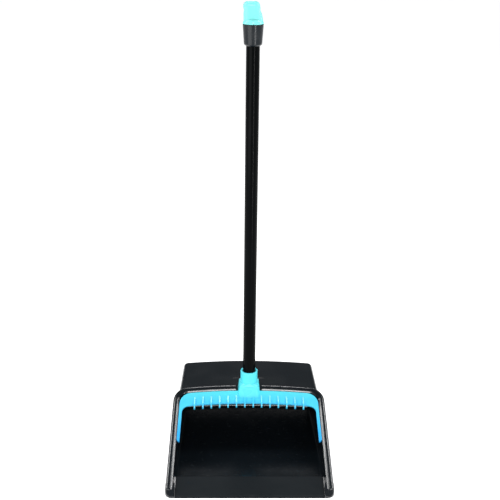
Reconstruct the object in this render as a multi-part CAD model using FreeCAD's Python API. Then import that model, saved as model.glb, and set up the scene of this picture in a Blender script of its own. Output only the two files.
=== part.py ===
import FreeCAD, Part
import math
import os
from FreeCAD import Vector

os.makedirs("parts", exist_ok=True)

# Long-handled dust pan, standing on the floor, mouth towards -Y, handle along +Z.
# The origin is on the floor, under the middle of the bounding box. Millimetres.

# ---- driving dimensions -------------------------------------------------------------------
PAN_DEPTH = 335.0            # lip edge to the rearmost point
AXIS_FROM_LIP = 200.0        # handle axis behind the lip edge
TOTAL_HEIGHT = 856.8

# pan shell
WALL = 2.4
HALF_WIDTH_AT_AXIS = 138.4   # outer face of a side wall, level with the handle
SIDE_TAPER = 0.032           # half width lost for each millimetre rearwards
ROOF_Z = 109.8
ROOF_CROWN_RADIUS = 3100.0
ROOF_CORNER = 10.0
FLOOR_CORNER = 8.0
REAR_EDGE_ROUND = 7.0
REAR_BOW_RADIUS = 1450.0     # the rear wall bulges slightly in plan
REAR_LEAN = 3.0              # degrees, foot of the rear wall forward
BAND_HEIGHT = 1.2            # raised band behind the mouth
BAND_END = 56.0              # its rear end, behind the handle axis
TONGUE_BACK = 26.0           # length of the band's tongue, behind the band's end
TONGUE_FRONT_HALF = 31.0
TONGUE_REAR_HALF = 20.0

# mouth: a sloping plane whose frame has u across, v down the slope, n outwards
MOUTH_SLOPE = 30.0
MOUTH_TOP_Z = 120.0          # height of the plane at the handle axis
MOUTH_TAPER = 0.0365         # half width gained for each millimetre of v
RIM_HALF_WIDTH = 146.4       # outer edge of the rim at v = 0
RIM_TOP_V = -5.0             # outer edge of the rim over the middle of the mouth
RIM_CORNER = 30.0
RIM_CROWN_RADIUS = 1200.0
BEAD_WIDTH = 12.4
BEAD_CREST = 4.6             # crest of the bead, in from its outer edge
BEAD_INNER_DROP = 3.0        # inner edge below the crest
BEAD_DEPTH = 12.0
BEAD_END_ROUND = 3.5
BEAD_END = 12.0              # front end of the bead, behind the lip edge
SHELL_CUT_N = -7.0           # the walls end this far under the plane, inside the bead
NOTCH_HALF_WIDTH = 25.5      # gap in the rim for the socket

# ramp, front corners and lip
CREST_FROM_LIP = 50.0
CREST_Z = 13.0
RAMP_FOOT_FROM_LIP = 63.0
RAMP_HALF_WIDTH = 142.2      # reaches into the side walls
RAMP_TOE = 6.0               # front edge of the moulded ramp, behind the lip edge
RAMP_WALL = 3.0              # plastic between the ramp's top and the hollow under it
HOLLOW_FRONT = 18.0          # front edge of that hollow, behind the lip edge
CORNER_HALF_WIDTH = 154.6
CORNER_PLAN_ROUND = 15.0
CORNER_DEPTH = 26.0
CORNER_FRONT_Z = 3.2
CORNER_REAR_Z = 15.5
CORNER_TOP_ROUND = 2.2
LIP_HALF_WIDTH = 137.0
LIP_EDGE = 0.6
LIP_SKIN = 1.8
LIP_GAP = 0.3                # between the strip's ends and the corner feet

# comb frame
FRAME_GAP = 0.5
FRAME_CORNER = 24.0
FRAME_INNER_CORNER = 14.0
FRAME_FACE_N = -2.5
FRAME_THICK = 3.0
FRAME_EDGE_ROUND = 0.7
FASCIA_BOTTOM_V = 36.4
ARM_WIDTH = 5.6
ARM_DEPTH = 6.0
ARM_START_Y = -60.0          # the arms are deeper than the fascia below this line
ARM_END_V = 118.0
ARM_TIP_ROUND = 4.0
EDGE_BEAD_WIDTH = 1.4        # raised line along the fascia's lower edge
EDGE_BEAD_RISE = 0.5
EDGE_BEAD_INSET = 0.9        # line's own lower edge, up from the fascia's
TEETH = 14
TOOTH_PITCH = 16.25
TOOTH_THICK = 2.6
TOOTH_TOP_V = 17.0
TOOTH_TIP_V = 45.2
TOOTH_FACE_N = 2.4
GATE_R = 1.3                 # moulding gate mark in the middle of the fascia
GATE_V = 30.6
GATE_RISE = 0.7

# socket, all radii about the handle axis
SOCKET_TOP = 156.0
SOCKET_R = 16.6
SOCKET_MOUTH_ROUND = 1.2
BLOCK_SECTIONS = [           # height, half width, half depth, corner radius
    (103.0, 22.6, 20.6, 7.0),
    (129.0, 19.3, 18.8, 7.5),
    (133.3, 17.0, 17.0, 16.8),
]
SOCKET_FOOT_Z = ROOF_Z + BAND_HEIGHT
SOCKET_BORE_R = 12.9
SOCKET_SHOULDER = 108.0
SOCKET_LOW_R = 17.0
SOCKET_NECK_Z = 100.0        # underside of the wide part of the socket
SOCKET_TAIL_R = 13.2
SOCKET_END = 90.0
THREAD_BORE_R = 9.7
TIP_FLANGE = 3.0
THREAD_PITCH = 4.0
THREAD_DEPTH = 1.2
PLUG_LENGTH = 31.0           # part of the threaded tip inside the tube
SCREW_R = 2.0
SCREW_TOP = 119.0
SCREW_HEAD_R = 4.0
SCREW_HEAD_HEIGHT = 2.6
SCREW_X = 7.5                # each side of the middle
SCREW_BEHIND_AXIS = 24.5
PAD_HALF_WIDTH = 13.5        # screw pad behind the socket
PAD_BEHIND_AXIS = 31.0
PAD_TOP = 122.0
PAD_CORNER = 6.0
PAD_TOP_ROUND = 2.0
SCREW_CLEARANCE = 0.3        # round the screws, in the hood
TAIL_CLEARANCE = 0.6         # round the socket, in the hood

# handle
TUBE_R = 12.0
TUBE_WALL = 0.6
TUBE_TOP = 808.0
COLLAR_LOW = 782.5
COLLAR_TOP = 819.0
COLLAR_RING_R = 13.2         # thin ring where the collar starts on the tube
COLLAR_LOW_R = 15.9
COLLAR_TOP_R = 18.1
STEM_R = 5.0
STEM_BORE_R = 5.1
STEM_SNAP_R = 6.2
STEM_SNAP_HEIGHT = 6.0
STEM_SLOT_WIDTH = 2.2
SWIVEL_GAP = 0.3

# hanging cap: its tongue leans to -X and is rounded over at the top
TONGUE_SECTIONS = [          # height above the base, X left, X right, half depth, corner radius
    (3.0, -16.8, 16.8, 11.6, 10.0),
    (12.0, -16.9, 15.6, 10.4, 9.6),
    (24.0, -17.3, 12.5, 9.4, 9.0),
    (TOTAL_HEIGHT - COLLAR_TOP - SWIVEL_GAP, -17.6, 11.3, 8.9, 8.6),
]
TONGUE_ROUND = 8.0
HANG_HOLE_R = 4.5
HANG_HOLE_Z = 841.0

# ---- derived ------------------------------------------------------------------------------
LIP_Y = -PAN_DEPTH / 2
REAR_Y = PAN_DEPTH / 2
AXIS_Y = LIP_Y + AXIS_FROM_LIP
AXIS_BASE = Vector(0, AXIS_Y, 0)
UP = Vector(0, 0, 1)


# ---- helpers ------------------------------------------------------------------------------
def half_width(y):
    """Outer half width of the pan shell at a given Y."""
    return HALF_WIDTH_AT_AXIS - SIDE_TAPER * (y - AXIS_Y)


def arc_between(start, end, centre, radius):
    """Shorter arc from start to end about centre."""
    middle = (start + end) * 0.5 - centre
    middle.normalize()
    return Part.Arc(start, centre + middle * radius, end).toShape()


def line(start, end):
    return Part.LineSegment(start, end).toShape()


def polygon_prism(points, direction):
    """Solid swept from a closed polygon along a vector."""
    return Part.Face(Part.makePolygon(points + points[:1])).extrude(direction)


def x_prism(points, half):
    """Prism across X, symmetric about the middle plane, from (y, z) points."""
    outline = [Vector(-half, y, z) for y, z in points]
    return polygon_prism(outline, Vector(2 * half, 0, 0))


def revolved(profile, axis_base=AXIS_BASE):
    """Solid of revolution about an upright axis from (radius, z) points."""
    points = [axis_base + Vector(radius, 0, z) for radius, z in profile]
    return Part.Face(Part.makePolygon(points + points[:1])).revolve(axis_base, UP, 360)


def cylinder(radius, z_low, z_high, x=0.0, y=AXIS_Y):
    return Part.makeCylinder(radius, z_high - z_low, Vector(x, y, z_low), UP)


def on_mouth(shape):
    """Place a shape drawn flat, with y up the slope and z outwards, on the mouth plane."""
    placed = shape.copy()
    placed.rotate(Vector(0, 0, 0), Vector(1, 0, 0), MOUTH_SLOPE)
    placed.translate(Vector(0, AXIS_Y, MOUTH_TOP_Z))
    return placed


def crown_drop(x, radius):
    return radius - math.sqrt(radius * radius - x * x)


def edges_where(shape, test):
    """Edges whose bounding box passes the test."""
    return [edge for edge in shape.Edges if test(edge.BoundBox)]


def write(name, shape):
    """Save one sub-part as parts/NAME.step."""
    solids = shape.Solids
    result = solids[0] if len(solids) == 1 else Part.makeCompound(solids)
    result.exportStep("parts/" + name + ".step")
    box = result.optimalBoundingBox()
    print(name, "solids", len(solids), "valid", result.isValid(), "volume", round(result.Volume),
          "x", round(box.XMin, 2), round(box.XMax, 2), "y", round(box.YMin, 2), round(box.YMax, 2),
          "z", round(box.ZMin, 2), round(box.ZMax, 2))


# ---- pan shell ----------------------------------------------------------------------------
def shell_section(y, offset, z_low):
    """Closed cross-section of the pan at Y, grown by offset: flat floor, crowned roof."""
    w = half_width(y) + offset
    r_low = FLOOR_CORNER + offset
    r_high = ROOF_CORNER + offset
    crown_r = ROOF_CROWN_RADIUS + offset
    crown_c = Vector(0, y, ROOF_Z + offset - crown_r)
    corner_x = w - r_high
    corner_z = crown_c.z + math.sqrt((crown_r - r_high) ** 2 - corner_x ** 2)
    corner = Vector(corner_x, y, corner_z)
    tangent = corner - crown_c
    tangent.normalize()
    high_in = crown_c + tangent * crown_r
    high_out = Vector(w, y, corner_z)
    low_out = Vector(w, y, z_low + r_low)
    low_in = Vector(w - r_low, y, z_low)
    low_corner = Vector(w - r_low, y, z_low + r_low)

    def mirrored(point):
        return Vector(-point.x, point.y, point.z)

    edges = [line(mirrored(low_in), low_in),
             arc_between(low_in, low_out, low_corner, r_low),
             line(low_out, high_out),
             arc_between(high_out, high_in, corner, r_high),
             Part.Arc(high_in, crown_c + UP * crown_r, mirrored(high_in)).toShape(),
             arc_between(mirrored(high_in), mirrored(high_out), mirrored(corner), r_high),
             line(mirrored(high_out), mirrored(low_out)),
             arc_between(mirrored(low_out), mirrored(low_in), mirrored(low_corner), r_low)]
    return Part.Wire(edges)


def shell_loft(y_front, y_rear, offset, z_low):
    sections = [shell_section(y_front, offset, z_low), shell_section(y_rear, offset, z_low)]
    return Part.makeLoft(sections, True, True)


def rear_bow(inset):
    """Large leaning cylinder whose rear side is the bowed rear wall."""
    radius = REAR_BOW_RADIUS - inset
    bow = Part.makeCylinder(radius, 400, Vector(0, REAR_Y - REAR_BOW_RADIUS, -150), UP)
    bow.rotate(Vector(0, REAR_Y, ROOF_Z - REAR_EDGE_ROUND), Vector(1, 0, 0), -REAR_LEAN)
    return bow


def rounded_rear(body, radius):
    """Round the edge where the rear wall meets roof, sides and floor."""
    edges = []
    for face in body.Faces:
        if face.CenterOfMass.y > REAR_Y - 20 and face.Area > 10000:
            edges = face.Edges
    return body.makeFillet(radius, edges)


def shell_solid(offset, z_low):
    """Body of the pan grown by offset, with its rounded rear wall."""
    blank = shell_loft(LIP_Y - 30, REAR_Y + 30, offset, z_low)
    return rounded_rear(blank.common(rear_bow(-offset)), REAR_EDGE_ROUND + offset)


def band():
    """Raised band behind the mouth, with a tongue running back under the socket."""
    end_y = AXIS_Y + BAND_END
    # the step's slope runs on to just under the hood's own surface
    run_out = 3.0
    under = 0.3
    sections = [shell_section(LIP_Y - 30, BAND_HEIGHT, 0), shell_section(end_y, BAND_HEIGHT, 0),
                shell_section(end_y + run_out, -under, under)]
    ring = Part.makeLoft(sections, True, True)
    tongue_plan = [Vector(-TONGUE_FRONT_HALF, end_y - 2, 100),
                   Vector(TONGUE_FRONT_HALF, end_y - 2, 100),
                   Vector(TONGUE_REAR_HALF, end_y + TONGUE_BACK, 100),
                   Vector(-TONGUE_REAR_HALF, end_y + TONGUE_BACK, 100)]
    tongue = polygon_prism(tongue_plan, Vector(0, 0, 30))
    skin = shell_loft(end_y - 10, end_y + 40, BAND_HEIGHT, 0)
    return [ring, tongue.common(skin)]


def above_mouth(n):
    """Everything outside the plane lying n above the mouth plane."""
    return on_mouth(Part.makeBox(500, 700, 300, Vector(-250, -500, n)))


# ---- mouth outline ------------------------------------------------------------------------
def arch_edges(side, top_v, radius, end_v):
    """Open arch in the flat frame: side line, corner, crowned top, corner, side line."""
    norm = math.sqrt(1 + MOUTH_TAPER ** 2)
    crown_r = RIM_CROWN_RADIUS - top_v
    crown_c = Vector(0, -top_v - crown_r, 0)
    # corner centre: radius inside the side line and inside the crown circle
    reach = crown_r - radius
    base = side - radius * norm

    def side_x(y):
        return base - MOUTH_TAPER * y

    corner_y = -top_v - radius
    for _ in range(20):
        corner_y = crown_c.y + math.sqrt(reach ** 2 - side_x(corner_y) ** 2)
    corner = Vector(side_x(corner_y), corner_y, 0)
    outward = Vector(1, MOUTH_TAPER, 0)
    outward.normalize()
    radial = corner - crown_c
    radial.normalize()
    on_side = corner + outward * radius
    on_top = crown_c + radial * crown_r
    end = Vector(side + MOUTH_TAPER * end_v, -end_v, 0)

    def mirrored(point):
        return Vector(-point.x, point.y, 0)

    return [line(mirrored(end), mirrored(on_side)),
            arc_between(mirrored(on_side), mirrored(on_top), mirrored(corner), radius),
            Part.Arc(mirrored(on_top), Vector(0, -top_v, 0), on_top).toShape(),
            arc_between(on_top, on_side, corner, radius),
            line(on_side, end)]


def bead():
    """Rolled rim swept round the mouth: rounded outside, falling gently to its inner edge."""
    outer = arch_edges(RIM_HALF_WIDTH, RIM_TOP_V, RIM_CORNER, 260.0)
    path = Part.Wire(outer)
    first = path.Edges[0]
    start = first.valueAt(first.FirstParameter)
    inward = first.tangentAt(first.FirstParameter).cross(UP)
    if inward.x * start.x > 0:
        inward = inward * -1.0
    crest = start + inward * BEAD_CREST
    inner_run = BEAD_WIDTH - BEAD_CREST
    inner_r = (inner_run ** 2 + BEAD_INNER_DROP ** 2) / (2 * BEAD_INNER_DROP)
    inner_edge = start + inward * BEAD_WIDTH - UP * BEAD_INNER_DROP
    outer_waist = start - UP * BEAD_CREST
    low = UP * -BEAD_DEPTH
    profile = Part.Wire([line(start + low, outer_waist),
                         arc_between(outer_waist, crest, crest - UP * BEAD_CREST, BEAD_CREST),
                         arc_between(crest, inner_edge, crest - UP * inner_r, inner_r),
                         line(inner_edge, start + inward * BEAD_WIDTH + low),
                         line(start + inward * BEAD_WIDTH + low, start + low)])
    return on_mouth(path.makePipeShell([profile], True, False))


def bead_with_round_ends():
    """The bead cut off just behind the lip edge, its two ends rounded over."""
    end_y = LIP_Y + BEAD_END
    rim = bead().cut(Part.makeBox(400, 200, 400, Vector(-200, end_y - 200, -200)))
    crown = edges_where(rim, lambda box: box.YMax < end_y + 0.01 and box.ZMax > 5)
    rounded = [edge for edge in crown if edge.Curve.TypeId != "Part::GeomLine"]
    return rim.makeFillet(BEAD_END_ROUND, rounded)


# ---- pan body -----------------------------------------------------------------------------
def ramp_height(y):
    """Top of the lip strip above a point on the ramp."""
    return LIP_EDGE + (CREST_Z - LIP_EDGE) * (y - LIP_Y) / CREST_FROM_LIP


def ramp():
    """Ramp moulded in one with the floor, under the lip strip."""
    crest_y = LIP_Y + CREST_FROM_LIP
    foot_y = LIP_Y + RAMP_FOOT_FROM_LIP
    toe_y = LIP_Y + RAMP_TOE
    outline = [(foot_y, 0), (foot_y, WALL), (crest_y + 1, CREST_Z - LIP_SKIN),
               (toe_y, ramp_height(toe_y) - LIP_SKIN / 2), (toe_y, 0)]
    return x_prism(outline, RAMP_HALF_WIDTH)


def room_under_ramp():
    """Hollow behind the ramp, open at the bottom."""
    crest_y = LIP_Y + CREST_FROM_LIP
    outline = [(LIP_Y + RAMP_FOOT_FROM_LIP - 3, 0),
               (crest_y + 0.5, CREST_Z - LIP_SKIN - RAMP_WALL),
               (LIP_Y + HOLLOW_FRONT, 0)]
    return x_prism(outline, LIP_HALF_WIDTH - WALL)


def corner_foot(side):
    """Rounded foot under the rim's end, beside the lip strip."""
    inner = LIP_HALF_WIDTH + LIP_GAP
    outline = [(LIP_Y, 0), (LIP_Y, CORNER_FRONT_Z), (LIP_Y + CORNER_DEPTH, CORNER_REAR_Z),
               (LIP_Y + CORNER_DEPTH, 0)]
    foot = polygon_prism([Vector(inner, y, z) for y, z in outline],
                         Vector(CORNER_HALF_WIDTH - inner, 0, 0))
    upright = edges_where(foot, lambda box: box.XMin > CORNER_HALF_WIDTH - 0.1
                          and box.YMax < LIP_Y + 0.1)
    foot = foot.makeFillet(CORNER_PLAN_ROUND, upright)
    top = edges_where(foot, lambda box: box.ZMin > CORNER_FRONT_Z - 0.1
                      and box.XMax > inner + 1 and box.YMin < LIP_Y + CORNER_DEPTH - 1)
    foot = foot.makeFillet(CORNER_TOP_ROUND, top)
    if side < 0:
        foot = foot.mirror(Vector(0, 0, 0), Vector(1, 0, 0))
    return foot


def make_pan_body():
    shell = shell_solid(0, -1.0)
    for raised in band():
        shell = shell.fuse(raised)
    shell = shell.cut(shell_solid(-WALL, WALL))
    shell = shell.cut(above_mouth(SHELL_CUT_N))
    front = Part.makeBox(400, 80, 100, Vector(-200, LIP_Y - 80 + CORNER_DEPTH - 4, -40))
    shell = shell.cut(front).fuse(bead_with_round_ends())
    shell = shell.fuse(ramp()).cut(room_under_ramp())
    for side in (-1, 1):
        shell = shell.fuse(corner_foot(side))

    notch = Part.makeBox(2 * NOTCH_HALF_WIDTH, 60, 60,
                         Vector(-NOTCH_HALF_WIDTH, AXIS_Y - 60, MOUTH_TOP_Z - 25))
    behind = Part.makeBox(2 * NOTCH_HALF_WIDTH, 30, 30,
                          Vector(-NOTCH_HALF_WIDTH, AXIS_Y - 1, SOCKET_FOOT_Z))
    shell = shell.cut(notch).cut(behind).cut(cylinder(SOCKET_LOW_R + TAIL_CLEARANCE, 90, 130))
    for x, y in screw_places():
        shell = shell.cut(cylinder(SCREW_R + SCREW_CLEARANCE, 90, 130, x, y))
    # everything ends in one flat underside
    return shell.cut(Part.makeBox(500, 500, 50, Vector(-250, -250, -50)))


# ---- lip strip ----------------------------------------------------------------------------
def make_lip_strip():
    """Soft strip over the ramp, between the two corner feet."""
    crest_y = LIP_Y + CREST_FROM_LIP
    toe_y = LIP_Y + RAMP_TOE
    under = [(LIP_Y, 0), (toe_y, 0), (toe_y, ramp_height(toe_y) - LIP_SKIN / 2),
             (crest_y + 1, CREST_Z - LIP_SKIN)]
    over = [(crest_y + 1, CREST_Z - 0.8), (crest_y + 0.2, CREST_Z - 0.15),
            (crest_y - 1.2, ramp_height(crest_y - 1.2)), (LIP_Y, LIP_EDGE)]
    return x_prism(under + over, LIP_HALF_WIDTH)


# ---- comb frame ---------------------------------------------------------------------------
def arch_plate(outer, inner, n_low, n_high):
    """Flat arch between two open outlines, between two heights n."""
    ends = [line(outer[which].Vertexes[which].Point, inner[which].Vertexes[which].Point)
            for which in (0, -1)]
    plate = Part.Face(Part.Wire(Part.__sortEdges__(outer + inner + ends)))
    plate.translate(UP * n_low)
    return plate.extrude(UP * (n_high - n_low))


def frame_outline():
    inset = BEAD_WIDTH + FRAME_GAP
    return arch_edges(RIM_HALF_WIDTH - inset, RIM_TOP_V + inset, FRAME_CORNER, ARM_END_V)


def fascia_outline(grow):
    """Inner outline of the frame, moved by grow into the frame."""
    side = RIM_HALF_WIDTH - BEAD_WIDTH - FRAME_GAP - ARM_WIDTH
    return arch_edges(side + grow, FASCIA_BOTTOM_V - grow, FRAME_INNER_CORNER + grow, ARM_END_V)


def flat_frame():
    """Fascia with its two arms, drawn flat: round tips, soft front edges, an edge line."""
    plate = arch_plate(frame_outline(), fascia_outline(0), FRAME_FACE_N - FRAME_THICK,
                       FRAME_FACE_N)
    arms = arch_plate(frame_outline(), fascia_outline(0), FRAME_FACE_N - ARM_DEPTH,
                      FRAME_FACE_N - FRAME_THICK)
    lower = Part.makeBox(400, 200, 40, Vector(-200, ARM_START_Y - 200, -20))
    frame = plate.fuse(arms.common(lower)).removeSplitter()
    tip_x = RIM_HALF_WIDTH - BEAD_WIDTH - FRAME_GAP + MOUTH_TAPER * ARM_END_V
    tips = edges_where(frame, lambda box: box.ZLength > 2 and box.XLength < 0.1
                       and box.YMax < -ARM_END_V + 0.1
                       and max(abs(box.XMin), abs(box.XMax)) > tip_x - 0.5)
    frame = frame.makeFillet(ARM_TIP_ROUND, tips)
    front = edges_where(frame, lambda box: box.ZMin > FRAME_FACE_N - 0.01)
    frame = frame.makeFillet(FRAME_EDGE_ROUND, front)
    edge_line = arch_plate(fascia_outline(EDGE_BEAD_WIDTH + EDGE_BEAD_INSET),
                           fascia_outline(EDGE_BEAD_INSET),
                           FRAME_FACE_N - 1.0, FRAME_FACE_N + EDGE_BEAD_RISE)
    above = Part.makeBox(2 * (RIM_HALF_WIDTH - RIM_CORNER), 60, 20,
                         Vector(-(RIM_HALF_WIDTH - RIM_CORNER), -60, -10))
    return frame.fuse(edge_line.common(above))


def tooth(x):
    """Comb tooth: a fin that grows out of the fascia and runs past its lower edge."""
    drop = crown_drop(x, RIM_CROWN_RADIUS)
    back_n = FRAME_FACE_N - FRAME_THICK
    side = [(TOOTH_TOP_V, FRAME_FACE_N - 0.5), (FASCIA_BOTTOM_V, TOOTH_FACE_N),
            (TOOTH_TIP_V - 2.0, TOOTH_FACE_N), (TOOTH_TIP_V - 0.4, TOOTH_FACE_N - 1.0),
            (TOOTH_TIP_V, TOOTH_FACE_N - 2.2), (TOOTH_TIP_V, back_n + 1.5),
            (TOOTH_TIP_V - 1.5, back_n), (TOOTH_TOP_V + 13, back_n), (TOOTH_TOP_V, back_n + 0.5)]
    outline = [Vector(x - TOOTH_THICK / 2, -v - drop, n) for v, n in side]
    return polygon_prism(outline, Vector(TOOTH_THICK, 0, 0))


def rounded_rectangle(z, left, right, half_y, radius):
    """Closed wire, level at z: rectangle from X left to right about the handle axis."""
    corners = [Vector(x, AXIS_Y + y, z)
               for x, y in ((left, -half_y), (right, -half_y), (right, half_y), (left, half_y))]
    edges = []
    for index, corner in enumerate(corners):
        following = corners[(index + 1) % 4]
        before = corners[index - 1] - corner
        after = following - corner
        before.normalize()
        after.normalize()
        end = corner + after * radius
        edges.append(arc_between(corner + before * radius, end,
                                 corner + (before + after) * radius, radius))
        edges.append(line(end, following - after * radius))
    return Part.Wire(edges)


def socket_block():
    """Square block that carries the socket, with a sloping shoulder round its top."""
    sections = [rounded_rectangle(z, -half_x, half_x, half_y, radius)
                for z, half_x, half_y, radius in BLOCK_SECTIONS]
    return Part.makeLoft(sections, True, True)


def socket_outside():
    """Block on the hood, socket tube above it and threaded tail below it."""
    low_z = BLOCK_SECTIONS[0][0]
    tube = cylinder(SOCKET_R, low_z, SOCKET_TOP)
    mouth = edges_where(tube, lambda box: box.ZMin > SOCKET_TOP - 0.1)
    tube = tube.makeFillet(SOCKET_MOUTH_ROUND, mouth)
    tail = revolved([(0, SOCKET_END), (SOCKET_TAIL_R - 0.6, SOCKET_END),
                     (SOCKET_TAIL_R, SOCKET_END + 1), (SOCKET_TAIL_R, SOCKET_NECK_Z - 2),
                     (SOCKET_LOW_R, SOCKET_NECK_Z + 2), (SOCKET_LOW_R, low_z + 1),
                     (0, low_z + 1)])
    # the hood lies under the rear half of the block, from just in front of the axis
    hood_room = Part.makeBox(80, 60, SOCKET_FOOT_Z - 90, Vector(-40, AXIS_Y - 1.5, 90))
    block = socket_block().cut(hood_room)
    return block.fuse(tube).fuse(tail)


def socket_bore():
    return revolved([(0, SOCKET_END + 3), (THREAD_BORE_R, SOCKET_END + 3),
                     (THREAD_BORE_R, SOCKET_SHOULDER), (SOCKET_BORE_R, SOCKET_SHOULDER),
                     (SOCKET_BORE_R, SOCKET_TOP - 1), (SOCKET_BORE_R + 0.8, SOCKET_TOP + 1),
                     (0, SOCKET_TOP + 1)])


def screw_places():
    """The two screws stand behind the socket, up through the hood into its pad."""
    return [(side * SCREW_X, AXIS_Y + SCREW_BEHIND_AXIS) for side in (-1, 1)]


def screw_pad():
    """Pad behind the socket, sitting on the hood, with rounded rear corners and top."""
    depth = PAD_BEHIND_AXIS - SOCKET_BORE_R
    rear_y = AXIS_Y + PAD_BEHIND_AXIS
    pad = Part.makeBox(2 * PAD_HALF_WIDTH, depth, PAD_TOP - SOCKET_FOOT_Z,
                       Vector(-PAD_HALF_WIDTH, AXIS_Y + SOCKET_BORE_R, SOCKET_FOOT_Z))
    corners = edges_where(pad, lambda box: box.ZLength > 5 and box.YMin > rear_y - 0.1)
    pad = pad.makeFillet(PAD_CORNER, corners)
    top = edges_where(pad, lambda box: box.ZMin > PAD_TOP - 0.1 and box.YMax > rear_y - 9)
    return pad.makeFillet(PAD_TOP_ROUND, top)


def make_comb_frame():
    frame = flat_frame()
    for index in range(TEETH):
        frame = frame.fuse(tooth((index - (TEETH - 1) / 2) * TOOTH_PITCH))
    gate = Part.makeCylinder(GATE_R, GATE_RISE + 1, Vector(0, -GATE_V, FRAME_FACE_N - 1), UP)
    frame = on_mouth(frame.fuse(gate))
    frame = frame.fuse(socket_outside()).fuse(screw_pad()).cut(socket_bore())
    for x, y in screw_places():
        frame = frame.cut(cylinder(SCREW_R, 100, SCREW_TOP, x, y))
    return frame.removeSplitter()


def make_frame_screws():
    """Two pan-head self-tapping screws, heads under the hood."""
    head_top = ROOF_Z - WALL - 0.02
    head_low = head_top - SCREW_HEAD_HEIGHT
    screws = []
    for x, y in screw_places():
        screws.append(revolved([(0, head_low), (SCREW_HEAD_R * 0.6, head_low),
                                (SCREW_HEAD_R, head_low + 1.2), (SCREW_HEAD_R, head_top),
                                (SCREW_R, head_top), (SCREW_R, SCREW_TOP - 2), (0, SCREW_TOP)],
                               Vector(x, y, 0)))
    return Part.makeCompound(screws)


# ---- handle -------------------------------------------------------------------------------
def make_handle_tube():
    inner = TUBE_R - TUBE_WALL
    low = SOCKET_SHOULDER + TIP_FLANGE
    return revolved([(inner, low), (TUBE_R, low), (TUBE_R, TUBE_TOP), (inner, TUBE_TOP)])


def make_threaded_tip():
    """Plug in the tube's end with a round-crested screw below its flange."""
    inner = TUBE_R - TUBE_WALL
    flange_top = SOCKET_SHOULDER + TIP_FLANGE
    plug_top = flange_top + PLUG_LENGTH
    crest = THREAD_BORE_R - 0.4
    root = crest - THREAD_DEPTH
    end = SOCKET_END + 3.4
    profile = [(0, end), (root - 1.5, end), (root, end + 1.5)]
    for index in range(int((SOCKET_SHOULDER - end - 3) / THREAD_PITCH)):
        z = end + 1.5 + index * THREAD_PITCH
        profile += [(root, z + 0.8), (crest, z + 1.8), (crest, z + 2.8), (root, z + 3.8)]
    profile += [(root, SOCKET_SHOULDER), (TUBE_R, SOCKET_SHOULDER), (TUBE_R, flange_top),
                (inner, flange_top), (inner, plug_top - 2), (inner - 1.2, plug_top),
                (0, plug_top)]
    return revolved(profile)


def make_end_collar():
    """Tapered collar on the tube's end, with a web that carries the swivel stem."""
    return revolved([(TUBE_R, COLLAR_LOW), (COLLAR_RING_R, COLLAR_LOW),
                     (COLLAR_LOW_R - 0.3, COLLAR_LOW + 2.2), (COLLAR_LOW_R, COLLAR_LOW + 3),
                     (COLLAR_TOP_R, COLLAR_TOP - 0.7), (COLLAR_TOP_R - 0.7, COLLAR_TOP),
                     (STEM_BORE_R, COLLAR_TOP), (STEM_BORE_R, TUBE_TOP), (TUBE_R, TUBE_TOP)])


# ---- hanging cap --------------------------------------------------------------------------
def leaning_tongue(base_z):
    """Tongue of the cap: leans to -X, nearly stadium-shaped at the top and rounded over."""
    wires = [rounded_rectangle(base_z + height, left, right, half_y, radius)
             for height, left, right, half_y, radius in TONGUE_SECTIONS]
    tongue = Part.makeLoft(wires, True, False)
    top = edges_where(tongue, lambda box: box.ZMin > TOTAL_HEIGHT - 0.05)
    return tongue.makeFillet(TONGUE_ROUND, top)


def cap_base(base_z, snap_z):
    """Round base over the collar, with the stem and its split snap end."""
    base = revolved([(0, snap_z - STEM_SNAP_HEIGHT), (STEM_R - 1, snap_z - STEM_SNAP_HEIGHT),
                     (STEM_SNAP_R, snap_z - 1.5), (STEM_SNAP_R, snap_z), (STEM_R, snap_z),
                     (STEM_R, base_z), (COLLAR_TOP_R - 0.6, base_z), (COLLAR_TOP_R, base_z + 0.6),
                     (COLLAR_TOP_R - 0.2, base_z + 1.8), (COLLAR_TOP_R - 1.2, base_z + 4.6),
                     (COLLAR_TOP_R - 3.0, base_z + 7.0), (0, base_z + 7.8)])
    slot = Part.makeBox(STEM_SLOT_WIDTH, 40, 16,
                        Vector(-STEM_SLOT_WIDTH / 2, AXIS_Y - 20, snap_z - 8))
    return base.cut(slot)


def make_hanger_cap():
    base_z = COLLAR_TOP + SWIVEL_GAP
    hole = Part.makeCylinder(HANG_HOLE_R, 80, Vector(-40, AXIS_Y, HANG_HOLE_Z), Vector(1, 0, 0))
    cap = cap_base(base_z, TUBE_TOP - SWIVEL_GAP).fuse(leaning_tongue(base_z))
    return cap.cut(hole)


PARTS = {
    "pan_body": make_pan_body,
    "lip_strip": make_lip_strip,
    "comb_frame": make_comb_frame,
    "frame_screws": make_frame_screws,
    "handle_tube": make_handle_tube,
    "threaded_tip": make_threaded_tip,
    "end_collar": make_end_collar,
    "hanger_cap": make_hanger_cap,
}

for node, make in PARTS.items():
    write(node, make())
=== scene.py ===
import math

import bpy
from mathutils import Euler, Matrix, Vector


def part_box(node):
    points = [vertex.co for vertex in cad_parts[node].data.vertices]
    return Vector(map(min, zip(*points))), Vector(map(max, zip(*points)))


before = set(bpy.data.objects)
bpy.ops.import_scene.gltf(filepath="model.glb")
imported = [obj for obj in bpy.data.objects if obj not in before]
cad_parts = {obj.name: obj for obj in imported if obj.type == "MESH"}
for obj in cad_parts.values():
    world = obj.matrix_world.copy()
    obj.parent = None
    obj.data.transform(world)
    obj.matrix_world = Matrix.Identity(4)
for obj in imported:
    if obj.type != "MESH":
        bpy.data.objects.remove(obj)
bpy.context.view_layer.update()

# The long-handled dust pan: pan, soft lip and comb frame stand on the floor,
# the handle screws into the frame's socket, and the hanging cap turns on its top.

AXIS_Y = sum(corner[1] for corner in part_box("handle_tube")) / 2

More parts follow.
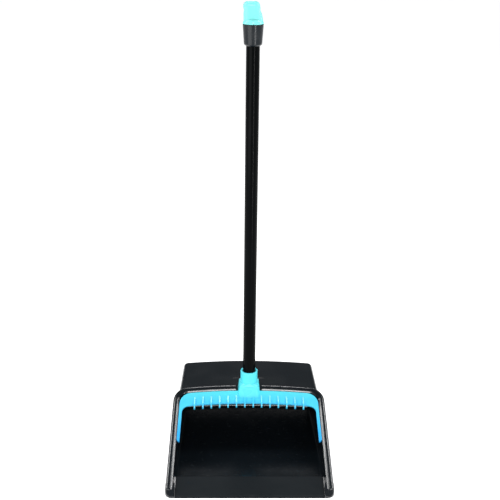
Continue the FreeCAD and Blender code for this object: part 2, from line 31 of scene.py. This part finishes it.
# ---- camera -------------------------------------------------------------------------------
CAMERA_AHEAD = 1.656         # in front of the handle axis
CAMERA_UP = 1.0255           # above the floor
CAMERA_LEFT = 0.0353         # of the handle axis
CAMERA_PITCH = math.radians(20.5)
CAMERA_YAW = math.radians(-1.187)
CAMERA_ROLL = math.radians(0.683)
CAMERA_LENS = 68.4           # millimetres, on a 36 mm sensor
SENSOR_WIDTH = 36.0

# ---- colours, linear ----------------------------------------------------------------------
PAN_BLACK = (0.0040, 0.0060, 0.0080, 1)
PAN_SCUFF = (0.018, 0.020, 0.022, 1)
LIP_BLACK = (0.0062, 0.0084, 0.0102, 1)
TUBE_BLACK = (0.0010, 0.0014, 0.0016, 1)
COLLAR_BLACK = (0.0030, 0.0060, 0.0090, 1)
TURQUOISE = (0.090, 0.650, 0.730, 1)
CAP_TURQUOISE = (0.205, 0.710, 0.690, 1)
# deep blue, used for random tone and for painted shade on the frame
TURQUOISE_TONE_AND_SHADE = (0.012, 0.250, 0.700, 1)
STEEL = (0.55, 0.55, 0.53, 1)
FLOOR_WHITE = (0.86, 0.86, 0.86, 1)
STUDIO_AIR = (0.9, 0.95, 1, 1)

# ---- heights where the surfaces change, metres --------------------------------------------
SCUFF_TOP = 0.030            # scuffs on the pan fade out up to here
SCUFF_FULL = 0.002
LIP_WEAR_TOP = 0.005         # wear along the lip's front edge
LIP_WEAR_FULL = 0.0005
FASCIA_TOP = 0.116           # painted shade deepens the frame's blue down the fascia, then down the arms
FASCIA_LOW = 0.099
ARM_TOP = 0.098
ARM_END = 0.058

# ---- stage, metres ------------------------------------------------------------------------
FLOOR_HALF_WIDTH = 12
FLOOR_AHEAD = 12
FLOOR_BEHIND = 24
FLOOR_GLOW = 0.5
STUDIO_GLOW = 0.10


# ---- material building --------------------------------------------------------------------
class Surface:
    """A principled material with a few procedural layers added by name."""

    def __init__(self, name, colour, roughness):
        self.material = bpy.data.materials.new(name)
        self.material.use_nodes = True
        self.nodes = self.material.node_tree.nodes
        self.links = self.material.node_tree.links
        self.shader = self.nodes["Principled BSDF"]
        self.shader.inputs["Base Color"].default_value = colour
        self.shader.inputs["Roughness"].default_value = roughness
        self.place = self.nodes.new("ShaderNodeTexCoord").outputs["Object"]

    def noise(self, scale, detail=2.0, stretch=(1, 1, 1)):
        """Noise in object space, stretched along the axes given."""
        mapping = self.nodes.new("ShaderNodeMapping")
        mapping.inputs["Scale"].default_value = stretch
        self.links.new(self.place, mapping.inputs["Vector"])
        texture = self.nodes.new("ShaderNodeTexNoise")
        texture.inputs["Scale"].default_value = scale
        texture.inputs["Detail"].default_value = detail
        self.links.new(mapping.outputs["Vector"], texture.inputs["Vector"])
        return texture.outputs["Fac"]

    def ramp(self, value, low, high, to_low=0.0, to_high=1.0):
        """Smooth step of a value between two limits."""
        node = self.nodes.new("ShaderNodeMapRange")
        node.interpolation_type = "SMOOTHSTEP"
        node.inputs["From Min"].default_value = low
        node.inputs["From Max"].default_value = high
        node.inputs["To Min"].default_value = to_low
        node.inputs["To Max"].default_value = to_high
        self.links.new(value, node.inputs["Value"])
        return node.outputs["Result"]

    def math(self, operation, first, second):
        node = self.nodes.new("ShaderNodeMath")
        node.operation = operation
        for socket, value in zip(node.inputs, (first, second)):
            if isinstance(value, (int, float)):
                socket.default_value = value
            else:
                self.links.new(value, socket)
        return node.outputs["Value"]

    def axis(self, letter):
        node = self.nodes.new("ShaderNodeSeparateXYZ")
        self.links.new(self.place, node.inputs["Vector"])
        return node.outputs[letter]

    def blend_colour(self, mask, first, second):
        """Colour that runs from first to second as the mask goes from 0 to 1."""
        node = self.nodes.new("ShaderNodeMix")
        node.data_type = "RGBA"
        self.links.new(mask, node.inputs["Factor"])
        for name, value in (("A", first), ("B", second)):
            socket = [s for s in node.inputs if s.name == name and s.type == "RGBA"][0]
            if isinstance(value, tuple):
                socket.default_value = value
            else:
                self.links.new(value, socket)
        return [s for s in node.outputs if s.type == "RGBA"][0]

    def colour(self, value):
        self.links.new(value, self.shader.inputs["Base Color"])

    def roughness(self, value):
        self.links.new(value, self.shader.inputs["Roughness"])

    def bump(self, layers):
        """Chain of bump layers: (height, strength, distance in metres)."""
        normal = None
        for height, strength, distance in layers:
            node = self.nodes.new("ShaderNodeBump")
            node.inputs["Strength"].default_value = strength
            node.inputs["Distance"].default_value = distance
            self.links.new(height, node.inputs["Height"])
            if normal is not None:
                self.links.new(normal, node.inputs["Normal"])
            normal = node.outputs["Normal"]
        self.links.new(normal, self.shader.inputs["Normal"])


def pan_material():
    """Satin black moulding: fine grain, faint sink waves, and scuffs low on the pan."""
    s = Surface("pan_satin_black", PAN_BLACK, 0.22)
    grain = s.noise(1900, 2)
    waves = s.noise(16, 2)
    scratches = s.ramp(s.noise(60, 3, (1, 14, 14)), 0.66, 0.74)
    low = s.ramp(s.axis("Z"), SCUFF_TOP, SCUFF_FULL)
    worn = s.math("MULTIPLY", scratches, s.math("ADD", s.math("MULTIPLY", low, 0.5), 0.12))
    s.colour(s.blend_colour(worn, PAN_BLACK, PAN_SCUFF))
    satin = s.ramp(waves, 0.35, 0.65, 0.20, 0.24)
    s.roughness(s.math("ADD", satin, s.math("MULTIPLY", worn, 0.2)))
    s.bump([(grain, 0.12, 0.00002), (waves, 0.04, 0.0004)])
    return s.material


def lip_material():
    """Soft black strip: matt, a little greyer, with wear along its front edge."""
    s = Surface("lip_rubber", LIP_BLACK, 0.5)
    s.shader.inputs["Specular IOR Level"].default_value = 0.03
    grain = s.noise(1300, 3)
    smear = s.ramp(s.noise(40, 3, (1, 5, 5)), 0.45, 0.75)
    edge = s.ramp(s.axis("Z"), LIP_WEAR_TOP, LIP_WEAR_FULL)
    worn = s.math("MULTIPLY", smear, s.math("ADD", s.math("MULTIPLY", edge, 0.7), 0.1))
    s.colour(s.blend_colour(worn, LIP_BLACK, PAN_SCUFF))
    s.roughness(s.ramp(smear, 0.0, 1.0, 0.42, 0.54))
    s.bump([(grain, 0.3, 0.00008)])
    return s.material


def turquoise_material(name, colour, arms):
    """Bright moulded plastic with random tone; with arms, painted shade deepens it down the
    fascia and its arms.
    """
    s = Surface(name, colour, 0.30)
    s.shader.inputs["Specular IOR Level"].default_value = 0.3
    flow = s.noise(22, 2)
    grain = s.noise(2200, 2)
    tone_and_shade = s.math("MULTIPLY", s.ramp(flow, 0.35, 0.65), 0.06)
    if arms:
        # painted shade: deeper blue towards the fascia's lower edge and down the arms
        painted_shade_fascia_foot = s.ramp(s.axis("Z"), FASCIA_TOP, FASCIA_LOW)
        painted_shade_down_arms = s.ramp(s.axis("Z"), ARM_TOP, ARM_END)
        tone_and_shade = s.math("ADD", tone_and_shade, s.math("MULTIPLY", painted_shade_fascia_foot, 0.42))
        tone_and_shade = s.math("ADD", tone_and_shade, s.math("MULTIPLY", painted_shade_down_arms, 0.38))
    s.colour(s.blend_colour(tone_and_shade, colour, TURQUOISE_TONE_AND_SHADE))
    s.roughness(s.ramp(flow, 0.35, 0.65, 0.27, 0.34))
    s.bump([(grain, 0.15, 0.00005), (flow, 0.08, 0.0004)])
    return s.material


def tube_material():
    """Glossy black coating with a faint drawn texture along the tube."""
    s = Surface("tube_coating", TUBE_BLACK, 0.24)
    s.shader.inputs["Specular IOR Level"].default_value = 0.036
    drawn = s.noise(420, 2, (1, 1, 0.02))
    peel = s.noise(260, 2)
    rub = s.ramp(s.noise(30, 4, (1, 1, 0.3)), 0.60, 0.75)
    rubbed = s.math("MULTIPLY", rub, 0.08)
    s.colour(s.blend_colour(rubbed, TUBE_BLACK, PAN_SCUFF))
    s.roughness(s.ramp(drawn, 0.3, 0.7, 0.15, 0.21))
    s.bump([(drawn, 0.06, 0.00004), (peel, 0.04, 0.00006)])
    return s.material


def collar_material():
    """Black moulding with a soft sheen, for the collar and the threaded tip."""
    s = Surface("collar_black", COLLAR_BLACK, 0.26)
    s.shader.inputs["Specular IOR Level"].default_value = 0.28
    grain = s.noise(2000, 2)
    wave = s.noise(45, 2)
    faded = s.math("MULTIPLY", s.ramp(wave, 0.4, 0.7), 0.3)
    s.colour(s.blend_colour(faded, COLLAR_BLACK, PAN_SCUFF))
    s.roughness(s.ramp(wave, 0.35, 0.65, 0.22, 0.28))
    s.bump([(grain, 0.2, 0.00005)])
    return s.material


def steel_material():
    """Zinc-plated steel of the frame's screws."""
    s = Surface("screw_zinc", STEEL, 0.35)
    s.shader.inputs["Metallic"].default_value = 1.0
    brushed = s.noise(900, 2, (1, 1, 4))
    s.roughness(s.ramp(brushed, 0.3, 0.7, 0.28, 0.45))
    s.bump([(brushed, 0.2, 0.00004)])
    return s.material


# ---- stage --------------------------------------------------------------------------------
def make_floor():
    """Plain white floor with a little glow of its own, so that it stays white far off."""
    mesh = bpy.data.meshes.new("floor")
    corners = [(-FLOOR_HALF_WIDTH, -FLOOR_AHEAD, 0), (FLOOR_HALF_WIDTH, -FLOOR_AHEAD, 0),
               (FLOOR_HALF_WIDTH, FLOOR_BEHIND, 0), (-FLOOR_HALF_WIDTH, FLOOR_BEHIND, 0)]
    mesh.from_pydata(corners, [], [(0, 1, 2, 3)])
    floor = bpy.data.objects.new("floor", mesh)
    bpy.context.scene.collection.objects.link(floor)
    s = Surface("floor_white", FLOOR_WHITE, 0.9)
    s.shader.inputs["Specular IOR Level"].default_value = 0.0
    s.shader.inputs["Emission Color"].default_value = (1, 1, 1, 1)
    s.shader.inputs["Emission Strength"].default_value = FLOOR_GLOW
    mesh.materials.append(s.material)


def area_light(name, place, target, width, height, power):
    """Soft rectangular light at a place, turned towards a target."""
    data = bpy.data.lights.new(name, "AREA")
    data.energy = power
    data.shape = "RECTANGLE"
    data.size = width
    data.size_y = height
    light = bpy.data.objects.new(name, data)
    light.location = place
    light.rotation_euler = (Vector(target) - Vector(place)).to_track_quat("-Z", "Y").to_euler()
    bpy.context.scene.collection.objects.link(light)


def sun_light(name, elevation, azimuth, spread, strength):
    """Even light over the whole floor, angles in degrees; azimuth 0 is the camera's side."""
    data = bpy.data.lights.new(name, "SUN")
    data.energy = strength
    data.angle = math.radians(spread)
    light = bpy.data.objects.new(name, data)
    rise, turn = math.radians(elevation), math.radians(azimuth)
    towards = Vector((math.sin(turn) * math.cos(rise), -math.cos(turn) * math.cos(rise),
                      math.sin(rise)))
    light.rotation_euler = towards.to_track_quat("Z", "Y").to_euler()
    bpy.context.scene.collection.objects.link(light)


def make_lights():
    world = bpy.data.worlds.new("studio")
    bpy.context.scene.world = world
    world.use_nodes = True
    background = world.node_tree.nodes["Background"]
    background.inputs["Color"].default_value = STUDIO_AIR
    background.inputs["Strength"].default_value = STUDIO_GLOW
    sun_light("behind", 57, 180, 16, 1.1)
    sun_light("front_fill", 26, 0, 16, 1.5)
    # tall boxes whose reflections run along both flanks of the rim
    area_light("left_box", (-1.65, 0.20, 1.75), (0, 0, 0.08), 0.3, 2.0, 34)
    area_light("right_box", (1.65, 0.20, 1.75), (0, 0, 0.08), 0.3, 2.0, 34)
    # a panel and a narrow strip for the sheen down the tube and the collar
    area_light("left_panel", (-0.95, -1.05, 0.42), (0, AXIS_Y, 0.42), 1.2, 0.6, 6.5)
    area_light("right_strip", (0.55, -1.12, 0.39), (0, AXIS_Y, 0.39), 0.04, 0.75, 5.0)


def make_camera():
    data = bpy.data.cameras.new("camera")
    data.lens = CAMERA_LENS
    data.sensor_width = SENSOR_WIDTH
    camera = bpy.data.objects.new("camera", data)
    camera.location = (-CAMERA_LEFT, AXIS_Y - CAMERA_AHEAD, CAMERA_UP)
    turn = Euler((math.pi / 2 - CAMERA_PITCH, 0, CAMERA_YAW), "XYZ").to_matrix()
    roll = Euler((0, 0, CAMERA_ROLL), "XYZ").to_matrix()
    camera.rotation_euler = (turn @ roll).to_euler()
    bpy.context.scene.collection.objects.link(camera)
    bpy.context.scene.camera = camera


# ---- pieces -------------------------------------------------------------------------------
def finish_node(node, material):
    """Give a CAD node its finished material."""
    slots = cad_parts[node].data.materials
    for index in range(len(slots)):
        slots[index] = material


bpy.context.scene.view_settings.view_transform = "Standard"
finish_node("pan_body", pan_material())
finish_node("lip_strip", lip_material())
finish_node("comb_frame", turquoise_material("turquoise_frame", TURQUOISE, True))
finish_node("hanger_cap", turquoise_material("turquoise_cap", CAP_TURQUOISE, False))
finish_node("handle_tube", tube_material())
finish_node("threaded_tip", collar_material())
finish_node("end_collar", collar_material())
finish_node("frame_screws", steel_material())
make_floor()
make_lights()
make_camera()
